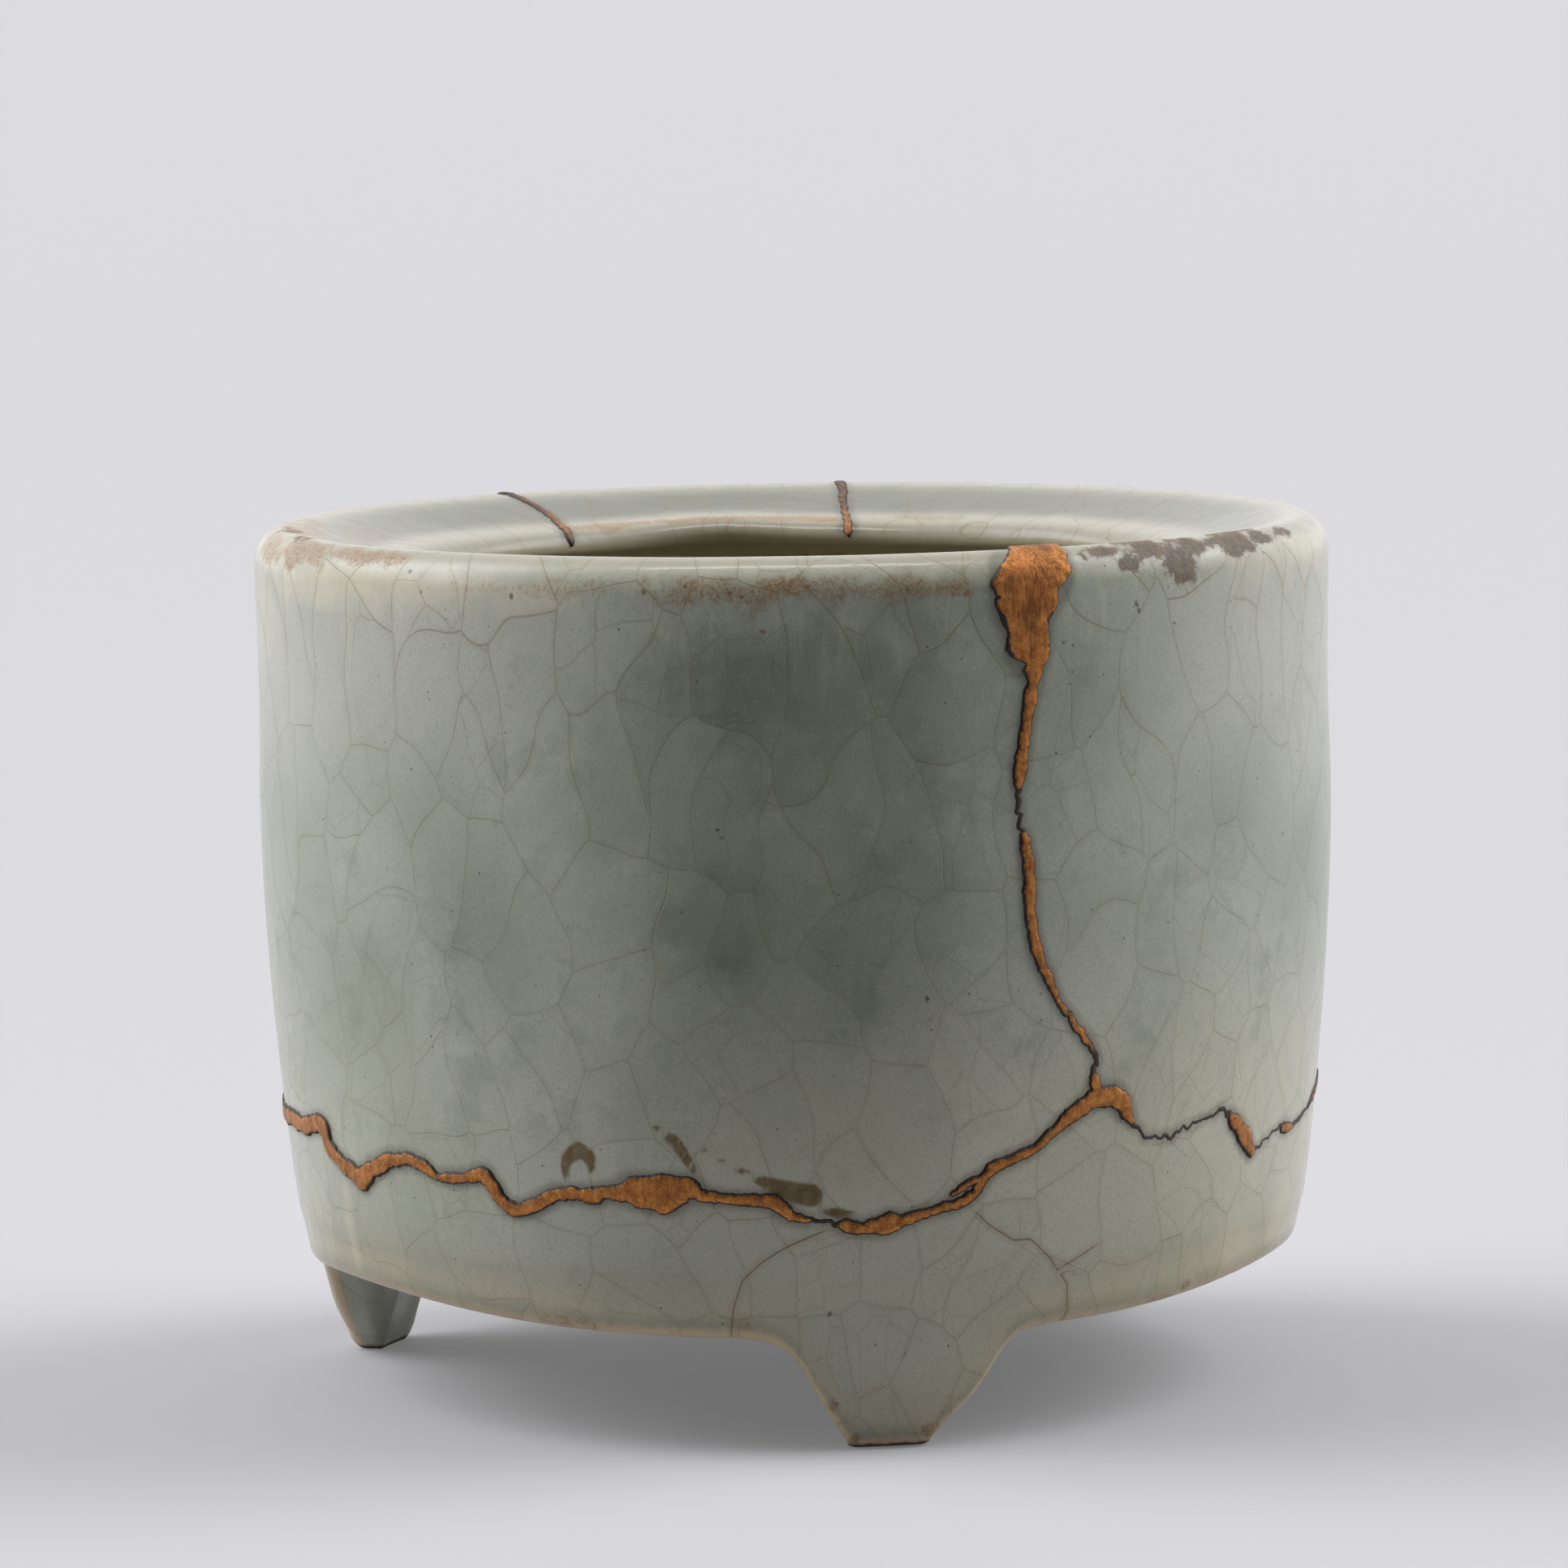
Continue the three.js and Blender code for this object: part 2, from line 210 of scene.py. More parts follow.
# Each break of the pot, (degrees round from the front foot, height, width, gold). Where gold
# is 0 the lacquer lies bare and dark. The level ones are listed by their two sides.
breaks = {
    "waist": {
        "closed": True, "across": 10, "rag": 0.24, "places": [
            (-86.5, 23.2, 1.2, 1), (-80, 23.2, 1.2, 1), (-75.5, 23.9, 1.3, 1), (-74, 23.6, 1.6, 1),
            (-73.5, 22.2, 1.3, 1), (-71.5, 21.3, 1.2, 1), (-69, 20.6, 1.2, 1), (-66.3, 20, 1.7, 1),
            (-64, 21.1, 1.3, 1), (-60.5, 22.2, 1, 1), (-57.5, 22.5, 0.9, 1), (-54.5, 22, 0.8, 1),
            (-52.9, 21.3, 0.35, 1), (-50.5, 21.4, 0.8, 1), (-48.2, 21.6, 0.7, 1), (-46, 22, 1.1, 1),
            (-45, 21.1, 1, 1), (-43.7, 19.6, 0.9, 1), (-42.2, 19.2, 0.8, 1), (-40, 19.7, 0.9, 1),
            (-37.3, 20.8, 0.85, 1), (-34.5, 20.9, 0.8, 1), (-32.6, 20.8, 1.15, 1),
            (-31.2, 21.2, 0.75, 1), (-29.8, 21.2, 1.3, 1), (-28.3, 21.4, 2.3, 1),
            (-26.4, 21.2, 2.6, 1), (-24.6, 21.1, 2.7, 1), (-23.2, 21.5, 2, 1), (-22, 21.7, 1.7, 1),
            (-20.9, 21.2, 0.8, 1), (-17.7, 20.8, 0.55, 1), (-14.7, 20.7, 0.75, 1),
            (-13.3, 20.7, 1.1, 1), (-12.2, 20, 1, 1), (-11.2, 19.4, 0.6, 1), (-9.6, 19.1, 0.35, 1),
            (-8.8, 19.1, 0.35, 0), (-7.5, 19.1, 0.3, 0), (-6.6, 18.6, 0.4, 0), (-5.5, 18.6, 0.85, 1),
            (-3.7, 18.3, 0.75, 1), (-2.2, 18.4, 1.2, 1), (-0.6, 18.7, 1.5, 1), (0.5, 18.8, 0.7, 1),
            (3.4, 19.4, 0.5, 1), (7, 20, 0.55, 1), (8.6, 20.7, 0.6, 1), (9.7, 22.2, 0.65, 1),
            (10.8, 22.8, 0.8, 1), (12.1, 23.2, 0.7, 1), (15, 23.9, 0.5, 1), (17.3, 25.2, 0.5, 1),
            (18.6, 25.9, 0.95, 1), (20, 26.6, 1.1, 1), (21.8, 27.5, 1.1, 1), (23.3, 27.8, 1.4, 1),
            (25, 27.7, 1.6, 1), (26.2, 26.8, 1.4, 1), (27, 26, 0.7, 1), (28, 24.9, 0.3, 0),
            (29.6, 23.9, 0.25, 0), (31.5, 23.8, 0.2, 0), (33, 23.6, 0.35, 0), (36, 24.4, 0.2, 0),
            (39.6, 24.7, 0.25, 0), (41.6, 25.3, 0.3, 0), (42.5, 24.7, 0.5, 0), (44, 24, 1, 1),
            (45.8, 23, 1.3, 1), (47.3, 21.8, 1.3, 1), (48.2, 21, 0.9, 1), (49.8, 21.1, 0.35, 0),
            (52.2, 21.8, 0.2, 0), (55.5, 22.4, 0.3, 0), (57, 22.1, 0.8, 1), (59.5, 21.9, 0.35, 0.4),
            (66.3, 22.8, 0.35, 0), (70, 23.4, 0.6, 0.6), (78, 24.6, 0.5, 0.6), (90, 23, 0.8, 1),
            (103, 24.7, 1.1, 1), (114, 22.3, 1.2, 1), (126, 21.4, 0.8, 1), (138, 23.2, 0.8, 1),
            (150, 25.6, 0.9, 1), (162, 26.4, 1.4, 1), (174, 24.4, 0.9, 1), (186, 23.4, 0.8, 1),
            (197, 24.8, 0.9, 1), (205, 26, 1.4, 1), (216, 23.6, 0.8, 1), (229, 21.2, 1, 1),
            (241, 22.3, 0.8, 1), (253, 24.2, 0.8, 1), (263, 22.8, 1, 1)]},
    "upright": {
        "across": 10, "rag": 0.24, "places": [
            (14.9, 63.4, 1.6, 1), (14.9, 61.9, 0.9, 1), (14.5, 60.3, 0.75, 1), (14, 58.3, 0.75, 1),
            (13.6, 56.2, 0.7, 1), (13.3, 54.8, 0.9, 1), (13, 53.6, 0.6, 1), (12.9, 53, 0.5, 0),
            (12.9, 52, 0.5, 0), (13.1, 50.1, 0.3, 0), (13.6, 49.2, 0.6, 1), (13.9, 47.5, 0.7, 1),
            (14.1, 46.3, 0.7, 1), (14.2, 45, 0.85, 1), (14.1, 43.5, 0.7, 1), (14.4, 42, 0.65, 1),
            (14.6, 40.9, 0.7, 1), (15.4, 39.2, 0.6, 1), (16.2, 37.9, 0.6, 1), (17.4, 36.3, 0.4, 0.5),
            (18.6, 34.9, 0.5, 0.5), (19.8, 33.7, 0.45, 0.5), (20.9, 32.6, 0.6, 0.6),
            (21.9, 31.6, 0.4, 0.4), (22.5, 30.9, 0.5, 0), (22.1, 30.2, 0.4, 0),
            (22.2, 29.3, 0.65, 1), (22.5, 28.2, 0.7, 1), (22.9, 27.6, 0.5, 1)]},
    "strand": {
        "across": 6, "rag": 0.2, "places": [
            (5.9, 20.6, 0.2, 0.5), (6.8, 21.1, 0.3, 1), (8, 21.7, 0.3, 1), (8.9, 21.9, 0.25, 1),
            (9.6, 22, 0.3, 1)]},
    "rimFill": {
        "across": 30, "rag": 0.1, "sides": [
            (77.6, 16.4, 17.2), (76.2, 15.7, 18), (74.2, 14.6, 18.9), (72.9, 13.9, 19.4),
            (72, 13.3, 19.7), (70.9, 11.8, 19.5), (70, 10.5, 19.3), (69.1, 10.4, 17.9),
            (68, 10.3, 17.5), (67, 11.1, 17.1), (65.7, 12, 16.7), (64.4, 11.7, 16.8),
            (63.5, 12.5, 16.6), (63.2, 13.8, 16.4), (62.6, 14.3, 15.9), (61.9, 14.5, 15.4)]},
    "rearLeft": {
        "across": 8, "rag": 0.2, "places": [
            (160.6, 84.6, 0.8, 0.45), (161.2, 82.5, 0.9, 0.45), (162.2, 80, 0.7, 0.4),
            (164, 72, 0.8, 0.35), (163, 66, 1, 1),
            (158.5, 58, 0.9, 1), (160.5, 50, 0.9, 1), (165.5, 42, 0.8, 1), (163, 34, 1, 1),
            (162, 26.4, 1, 1)]},
    "rearRight": {
        "across": 8, "rag": 0.2, "places": [
            (207.5, 84.6, 0.8, 0.35), (206.2, 82, 1, 0.45), (205, 79, 0.9, 0.4), (206, 72, 0.8, 0.35),
            (208.5, 65, 1, 1),
            (213, 57, 0.9, 1), (210.5, 48, 0.9, 1), (204, 40, 0.9, 1), (206.5, 32, 0.8, 1),
            (205, 26, 1, 1)]},
}
seam = {
    "proud": 0.28,         # how far the lacquer stands off the glaze
    "depth": 0.8,
    "shoulder": 0.42,      # how far in from its edge it reaches that height
    "border": 0.2,         # dark lacquer showing past the gold on each side
    "fineStep": 0.14,      # along the seam, at the front
    "coarseStep": 0.3,
    "frontReach": 96.0,    # degrees round from the front foot
    "cornerRound": 0.3,
    "bareWander": 0.4,     # how far bare lacquer strays
}


# Places along a break on the unrolled wall: arc, run, half width, gold.
def walkBreak(spec):
    if "sides" in spec:
        turned = [(math.radians((left + right) / 2) * pot["bellyRadius"], runAt(height),
                   math.radians(right - left) / 2 * pot["bellyRadius"], 1.0)
                  for height, left, right in spec["sides"]]
    else:
        turned = [(math.radians(angle) * pot["bellyRadius"], runAt(height),
                   width / 2 + seam["border"] * (0.12 + 0.88 * gold), gold)
                  for angle, height, width, gold in spec["places"]]
    if spec.get("closed"):
        arc, run, half, gold = turned[0]
        turned.append((arc + 2 * math.pi * pot["bellyRadius"], run, half, gold))
    walked = []
    for start, stop in zip(turned, turned[1:]):
        front = abs(math.degrees(start[0] / pot["bellyRadius"])) < seam["frontReach"]
        step = seam["fineStep"] if front else seam["coarseStep"]
        count = max(1, math.ceil(math.hypot(stop[0] - start[0], stop[1] - start[1]) / step))
        for k in range(count):
            walked.append([blendValue(a, b, k / count) for a, b in zip(start, stop)])
    walked.append(list(turned[-1]))
    walked = roundCorners(walked)
    for place in walked:
        at, drift = Vector((place[0], place[1], 3.1)) * 1.5, seam["bareWander"] * (1 - place[3])
        place[0] += drift * noise.noise(at)
        place[1] += drift * noise.noise(at + Vector((0, 0, 9.4)))
    return walked


# Draws each place towards its neighbours, which takes the points off the corners.
def roundCorners(walked):
    reach = max(1, round(seam["cornerRound"] / seam["fineStep"]))
    smooth = [list(place) for place in walked]
    for i in range(1, len(walked) - 1):
        span = min(reach, i, len(walked) - 1 - i)
        near = walked[i - span:i + span + 1]
        for axis in (0, 1, 2):
            smooth[i][axis] = sum(place[axis] for place in near) / len(near)
    return smooth


def unrolledPoint(arc, run, lift=0.0):
    at, out = skinAt(run)
    return onPot(arc / pot["bellyRadius"], at.x + out.x * lift, at.y + out.y * lift)


# How far the two sides of a seam wander at one place, as shares of its half width.
def raggedSides(centre, rag, half):
    wander = []
    for side in (0, 1):
        shift = Vector((31.7 * side, 12.9, 5.3))
        slow = noise.noise(centre * 0.9 + shift)
        quick = noise.noise(centre * 2.9 + shift)
        sharp = noise.noise(centre * 6.1 + shift)
        wander.append(1 + rag * slow * 1.3 + min(0.5, 0.12 / half) * quick + min(0.3, 0.06 / half) * sharp)
    return wander


walkedBreaks = {name: walkBreak(spec) for name, spec in breaks.items()}


# Centre points of every break but one, for measuring how far away the lacquer is.
def seamFinder(leftOut=None, leastSpan=0.4):
    marks = []
    for name, walked in walkedBreaks.items():
        if name == leftOut:
            continue
        last = None
        for arc, run, half, gold in walked:
            point = unrolledPoint(arc, run)
            if last is None or (point - last).length >= leastSpan * 0.5:
                marks.append((point, half))
                last = point
    tree = KDTree(len(marks))
    for i, (point, half) in enumerate(marks):
        tree.insert(point, i)
    tree.balance()
    return tree, [half for point, half in marks]


def intoLacquer(finder, point, reach):
    tree, halves = finder
    if tree.find(point)[2] > reach:
        return -reach
    return max((halves[i] - distance for _, i, distance in tree.find_range(point, reach)), default=-reach)


def smoothFaces(bm):
    for face in bm.faces:
        face.smooth = True


def makePiece(bm, name):
    mesh = bpy.data.meshes.new(name)
    bm.to_mesh(mesh)
    bm.free()
    piece = bpy.data.objects.new(name, mesh)
    bpy.context.collection.objects.link(piece)
    return piece


# The pot's section as rows, each a kind and its values; the lathe turns it into a shell.
def potRows():
    rows = [("under", radius, 0.0) for radius in (0, 5, 12, 19, 26, 31)]
    rows += [("under", radius, readCurve([Vector(p) for p in pot["footInside"]], radius, 0, 1))
             for radius in (33.2, 34, 34.7, 35.3, 35.8, 36.3, 36.8, 37.2, 37.6, 37.9)]
    rows += [("under", radius, 1.0) for radius in (38.4, 38.9)]
    count = pot["edgeRows"]
    rows += [("edge", (k / count) ** 1.8, 0.0) for k in range(count)]
    run, runs = runAt(pot["skinFoot"]), []
    while run > 0.05:
        runs.append(run)
        run -= pot["rimRowStep"] if run < ridgeRun + 5 else pot["wallRowStep"]
    rows += [("skin", run, 0.0) for run in runs]
    rows += [("inside", at.x, at.y) for at in insideCurve[2::2]]
    return rows


# Radius and height of a row at one column round the pot.
def rowPoint(row, column):
    kind, value, other = row
    foot, floorHeight = pot["skinFoot"], pot["underside"]
    edge, angle = edgeHeights[column], column * columnTurn
    if kind == "under":
        sag = 0.2 * (1 - value / 40)
        return value, floorHeight - sag * (1 - other) + (edge - floorHeight) * other
    if kind == "edge":
        height = edge + (foot - edge) * value
        rise = edgeHeights[(column + 1) % pot["columns"]] - edgeHeights[column - 1]
        tilt = rise / (2 * columnTurn * pot["footPitch"])
        inset, turn = 0.0, pot["edgeRound"]
        near = (height - edge) / math.hypot(1, tilt)
        if near < turn:
            inset = turn - math.sqrt(turn ** 2 - (turn - near) ** 2)
        dip = throwingDip(angle, height) * easeStep(value, 0, 1)
        return readCurve(lowerCurve, height, 1, 0) - inset - dip, height
    if kind == "skin":
        at, out = skinAt(value)
        dip = throwingDip(angle, at.y) * easeStep(value, ridgeRun - 8, ridgeRun + 3)
        bump = pot["lipBump"]
        turn = (math.degrees(angle) - bump["angle"]) / bump["spread"]
        lipShare = 1 - easeStep(at.x, 32, 37)
        rise = bump["rise"] * math.exp(-turn * turn) * lipShare
        ripple = 0.22 * noise.noise(Vector((math.sin(angle) * 3, math.cos(angle) * 3, 2))) * lipShare
        return at.x - out.x * dip, at.y - out.y * dip + rise + ripple
    return value, other


# Stained places on the glaze: (degrees, height, half width, half height, strength). Above the
# ridge the height goes on inwards over the lip, as it does for the breaks.
stains = {
    "tanStain": [
        (-32, 69.6, 14, 1.1, 0.5), (-19, 69.3, 9, 1.5, 0.62), (-11, 69.7, 4, 0.8, 0.7),
        (-3, 69.5, 10, 1.4, 0.58), (5.5, 69.4, 4, 1, 0.7), (-95, 74, 16, 3, 0.7), (-110, 78, 14, 3, 0.5), (-14.5, 67.6, 1.2, 1.8, 0.45), (-21, 68, 0.9, 1.6, 0.4),
        (-62, 71.3, 6, 0.8, 0.8), (-75, 70.9, 6, 1.4, 0.9), (-86, 71, 5, 1.3, 0.8), (24, 68.9, 3, 1, 0.4),
        (60, 69.4, 6, 1, 0.3),
        (-17, 10.6, 3, 1, 0.5), (38.5, 10.9, 0.9, 0.6, 0.8),
        (16, 6.6, 1.6, 1.2, 0.4), (-4.6, 0.9, 0.7, 0.9, 0.9), (-38, 10.2, 4, 0.8, 0.5), (35, 9.9, 2, 0.6, 0.6),
        (169, 82, 7, 1, 0.9), (182, 82.4, 7, 0.9, 0.8), (198, 82.2, 8, 1, 0.8), (150, 81.4, 7, 1, 0.6), (-7, 3.6, 0.6, 0.8, 0.8), (4.5, 1.4, 1.2, 0.9, 0.7),
        (78, 69, 2, 3, 0.4), (66, 58, 0.8, 6, 0.3), (150, 70, 8, 1.5, 0.5), (220, 69.5, 9, 1.2, 0.4)],
    "creamBand": [
        (-60, 69.2, 20, 1.9, 0.9), (-38, 69, 6, 1.5, 0.7), (60, 69.7, 15, 2, 0.7), (80, 66, 4, 5, 0.5),
        # the narrow mark at -71 degrees, 15 high, is a painted highlight of a crease low on the left wall
        (-71, 15, 0.8, 3.6, 0.6), (38.5, 10.9, 1.3, 0.9, 0.9), (-86, 66, 4, 5, 0.4),
        (120, 70, 20, 1.6, 0.6), (230, 70, 22, 1.8, 0.6), (47, 13, 3, 3, 0.5), (60, 15, 3, 4, 0.4),
        (-85, 71, 8, 1.2, 0.8)],
    "wornGlaze": [
        (21.5, 71.2, 0.5, 0.45, 0.7), (24.6, 71.5, 1.6, 0.5, 0.9), (27, 70.6, 1.3, 0.9, 1),
        (30.5, 71.3, 2, 0.9, 0.9), (34, 70.4, 2.3, 1.7, 1), (33, 69.1, 0.5, 0.7, 0.7),
        (37, 71.3, 1.6, 0.8, 0.9), (41, 71.5, 2, 0.5, 0.8), (45, 71, 2.6, 0.9, 1),
        (50, 71.3, 2.6, 0.6, 0.9), (56, 71.5, 2.5, 0.4, 0.7), (30, 72.4, 3, 0.7, 0.8), (46, 72.4, 5, 0.7, 0.8),
        (-80, 72.6, 3, 1, 0.6), (-92, 73, 5, 1.2, 0.55)],
    "greenPool": [
        (-30, 52.6, 4, 6, 0.5), (-18.5, 42.4, 4.5, 5, 0.7), (-4.7, 37, 4, 3, 0.3), (2.2, 54.3, 4, 4, 0.7),
        (-10, 62, 12, 5, 0.9), (9, 33, 4, 5, 0.3), (30, 33, 4, 5, 0.3), (-45, 40, 5, 6, 0.3),
        (1, 58, 13, 11, 0.62), (0, 2.5, 2.6, 3, 0.7), (150, 40, 12, 14, 0.6), (215, 52, 12, 10, 0.6)],
}
# Brown smears and fine brown cracks on the lower wall, (degrees, height, half width) along each.
smears = [
    [(-32.7, 22.7, 0.2), (-32.9, 24.1, 0.5), (-34.2, 24.5, 0.7), (-35.5, 24, 0.5), (-36, 22.8, 0.32),
     (-35.6, 21.8, 0.15)],
    [(-25.9, 26.9, 0.12), (-24.3, 26, 0.3), (-23.4, 25.5, 0.5), (-22.5, 24.5, 0.42), (-21.5, 23.2, 0.28)],
    [(-21.2, 25.4, 0.08), (-18.3, 23.9, 0.12), (-15.7, 22.9, 0.22), (-13.7, 22.1, 0.5), (-11, 21.4, 0.8),
     (-9.1, 21.1, 0.9), (-8.5, 21, 0.6)],
    [(-8, 20, 0.25), (-6, 19.5, 0.45), (-4, 19.2, 0.25)],
]
hairlines = [
    [(-7.4, 18.3, 0), (-10, 17.5, 0), (-12.1, 16.8, 0), (-14.6, 15.6, 0), (-16.7, 14.1, 0), (-17.8, 11.7, 0),
     (-18.3, 9, 0)],
    [(8.4, 19.4, 0), (10.2, 18.1, 0), (13.2, 16.6, 0), (15.2, 16.6, 0), (17.6, 15, 0), (18.9, 13.8, 0),
     (20.4, 12.5, 0), (20.7, 10.5, 0), (20.3, 8.8, 0)],
    [(18.9, 13.8, 0), (20.4, 14.3, 0), (24, 15.6, 0)],
]
# Single specks, (degrees, height, radius).
specks = {
    "rust": [
        (-25.2, 69.5, 0.2), (-16.4, 69.3, 0.2), (-15.2, 69.1, 0.16), (-13.2, 66.3, 0.15), (-39.8, 68.9, 0.2),
        (-53.3, 70.5, 0.18), (-51.2, 68.9, 0.12), (7.6, 68.8, 0.18), (-21, 69.9, 0.12), (1.5, 69.4, 0.12)],
    "dark": [
        (27.4, 67.2, 0.2), (27.7, 66.6, 0.14), (18.4, 64.6, 0.18), (32.6, 65.4, 0.1), (-17.9, 50.5, 0.12),
        (-17.6, 50, 0.1), (3.1, 36.7, 0.16), (31.6, 41.4, 0.12), (-52, 33, 0.12), (-41, 58, 0.1),
        (52, 47, 0.12), (-7.2, 3.9, 0.16)],
}


def stainAt(marks, angle, height, roughen):
    total = 0.0
    for degrees, middle, wide, tall, strength in marks:
        upward = (height - middle) / tall
        if abs(upward) > 2.4:
            continue
        turn = (angle - math.radians(degrees) + math.pi) % (2 * math.pi) - math.pi
        apart = math.hypot(turn * pot["bellyRadius"] / wide, upward) + roughen
        if apart < 1.5:
            total = max(total, strength * (1 - easeStep(apart, 0.3, 1.5)))
    return total


def drawnLine(places):
    return [(Vector((math.radians(angle) * pot["bellyRadius"], tall)), half) for angle, tall, half in places]


smearLines = [drawnLine(places) for places in smears]
hairLines = [drawnLine(places) for places in hairlines]


# The nearest of some drawn lines: gap to its edge, the same signed by side, distance to its end.
def nearestLine(lines, place):
    found = (9.0, 9.0, 0.0)
    for line in lines:
        total = sum((b - a).length for (a, _), (b, _) in zip(line, line[1:]))
        gone = 0.0
        for (a, halfA), (b, halfB) in zip(line, line[1:]):
            along = b - a
            share = min(1.0, max(0.0, (place - a).dot(along) / along.length_squared))
            apart = (place - a - along * share).length - blendValue(halfA, halfB, share)
            if apart < found[0]:
                at = gone + along.length * share
                found = (apart, math.copysign(apart, along.cross(place - a)), min(at, total - at))
            gone += along.length
    return found


def makeVessel():
    rows = potRows()
    bm = bmesh.new()
    rowMark = bm.verts.layers.float.new("potRow")
    chain = []
    for i, row in enumerate(rows):
        radius, height = rowPoint(row, pot["columns"] // 6)
        chain.append(bm.verts.new(onPot(0, radius, height)))
        chain[-1][rowMark] = i
    edges = [bm.edges.new(pair) for pair in zip(chain, chain[1:])]
    bmesh.ops.spin(bm, geom=chain + edges, cent=(0, 0, 0), axis=(0, 0, 1), angle=2 * math.pi,
                   steps=pot["columns"], use_merge=True)
    bmesh.ops.remove_doubles(bm, verts=bm.verts[:], dist=1e-5)
    names = ("seamGap", "smearGap", "hairSide", "hairShow", "lowerGap", *stains)
    layers = {name: bm.verts.layers.float.new(name) for name in names}
    finder = seamFinder()
    for vert in bm.verts:
        kind, value, other = rows[round(vert[rowMark])]
        column = round(math.atan2(vert.co.x, -vert.co.y) / columnTurn) % pot["columns"]
        angle = column * columnTurn
        radius, height = rowPoint((kind, value, other), column)
        vert.co = onPot(angle, radius, height)
        for name in ("seamGap", "smearGap", "hairSide", "lowerGap"):
            vert[layers[name]] = 9.0
        if kind in ("skin", "edge"):
            if height > 15:
                vert[layers["seamGap"]] = -intoLacquer(finder, vert.co, 5.5)
            vert[layers["lowerGap"]] = min(9.0, height - edgeHeights[column])
            roughen = 0.55 * noise.noise(vert.co * 0.45) + 0.3 * noise.noise(vert.co * 1.1)
            overLip = kind == "skin" and value < ridgeRun
            tall = pot["ridgeHeight"] + ridgeRun - value if overLip else height
            for name, marks in stains.items():
                vert[layers[name]] = stainAt(marks, angle, tall, roughen)
            turn = (angle + math.pi) % (2 * math.pi) - math.pi
            if height < 29 and abs(turn) < 0.8:
                place = Vector((turn * pot["bellyRadius"], height))
                vert[layers["smearGap"]] = nearestLine(smearLines, place)[0]
                gap, side, toEnd = nearestLine(hairLines, place)
                vert[layers["hairSide"]] = side
                vert[layers["hairShow"]] = easeStep(toEnd, -0.4, 1) * (1 - easeStep(gap, 1.2, 2))
    for vert in bm.verts:
        vert.co *= mm
    bmesh.ops.recalc_face_normals(bm, faces=bm.faces[:])
    smoothFaces(bm)
    print("vessel: %d faces" % len(bm.faces))
    return makePiece(bm, "crackledVessel")


# One seam: a flat slab of squares, extruded, then laid on the skin of the pot.
def laySeam(bm, name, layers, runLines):
    spec, walked = breaks[name], walkedBreaks[name]
    finder = seamFinder(leftOut=name)
    centres = [unrolledPoint(arc, run) for arc, run, half, gold in walked]
    steps, across = len(walked) - 1, spec["across"]
    sheet = bmesh.ops.create_grid(bm, x_segments=steps, y_segments=across, size=1)["verts"]
    faces = list({face for vert in sheet for face in vert.link_faces})
    raised = bmesh.ops.extrude_face_region(bm, geom=faces)["geom"]
    top = {item for item in raised if isinstance(item, bmesh.types.BMVert)}
    alongSeam = [0.0]
    for a, b in zip(centres, centres[1:]):
        alongSeam.append(alongSeam[-1] + (b - a).length)
    seamEnd = alongSeam[-1]
    stations = []
    for i, (arc, run, half, gold) in enumerate(walked):
        aside = Vector((1.0, 0.0))
        if "sides" not in spec:
            before, after = walked[max(i - 1, 0)], walked[min(i + 1, steps)]
            if spec.get("closed") and i in (0, steps):
                before, after = walked[-2], walked[1]
                before = [before[0] - 2 * math.pi * pot["bellyRadius"], *before[1:]]
            heading = Vector((after[0] - before[0], after[1] - before[1])).normalized()
            aside = Vector((heading.y, -heading.x))
        halves = [half * wander for wander in raggedSides(centres[i], spec["rag"], half)]
        if not spec.get("closed"):
            toEnd = min(alongSeam[i], seamEnd - alongSeam[i])
            halves = [side * math.sqrt(min(1.0, (toEnd + 0.02) / max(0.25, side))) for side in halves]
        stations.append((arc, run, gold, aside, halves))
    for vert in [*sheet, *top]:
        station = round((vert.co.x + 1) / 2 * steps)
        share = math.sin(vert.co.y * math.pi / 2)
        arc, run, gold, aside, halves = stations[station]
        half = halves[0] if share > 0 else halves[1]
        onArc, onRun = arc + aside.x * share * half, run + aside.y * share * half
        skinPlace = unrolledPoint(onArc, onRun)
        inner = half * (1 - abs(share))
        joined = max(inner, intoLacquer(finder, skinPlace, 4.0))
        rise = min(1.0, max(0.0, joined) / seam["shoulder"])
        lift = (seam["proud"] * (0.35 + 0.65 * gold)) * math.sqrt(1 - (1 - rise) ** 2) - 0.05
        lift += 0.035 * rise * noise.noise(skinPlace * 1.6)
        if vert not in top:
            lift = -seam["depth"]
        lift -= 0.6 * throwingDip(onArc / pot["bellyRadius"], skinPlace.z) if onRun > ridgeRun else 0
        vert[layers["edgeGap"]] = joined
        vert[layers["goldShare"]] = gold
        vert.co = unrolledPoint(onArc, onRun, lift)
        for loop in vert.link_loops:
            loop[runLines].uv = (alongSeam[station], share * half)


def makeSeams():
    bm = bmesh.new()
    layers = {name: bm.verts.layers.float.new(name) for name in ("edgeGap", "goldShare")}
    runLines = bm.loops.layers.uv.new("alongSeam")
    for name in breaks:
        laySeam(bm, name, layers, runLines)
    bmesh.ops.remove_doubles(bm, verts=bm.verts[:], dist=2e-3)
    for vert in bm.verts:
        vert.co *= mm
    bmesh.ops.recalc_face_normals(bm, faces=bm.faces[:])
    smoothFaces(bm)
    print("gold lacquer: %d faces" % len(bm.faces))
    return makePiece(bm, "goldLacquerSeams")


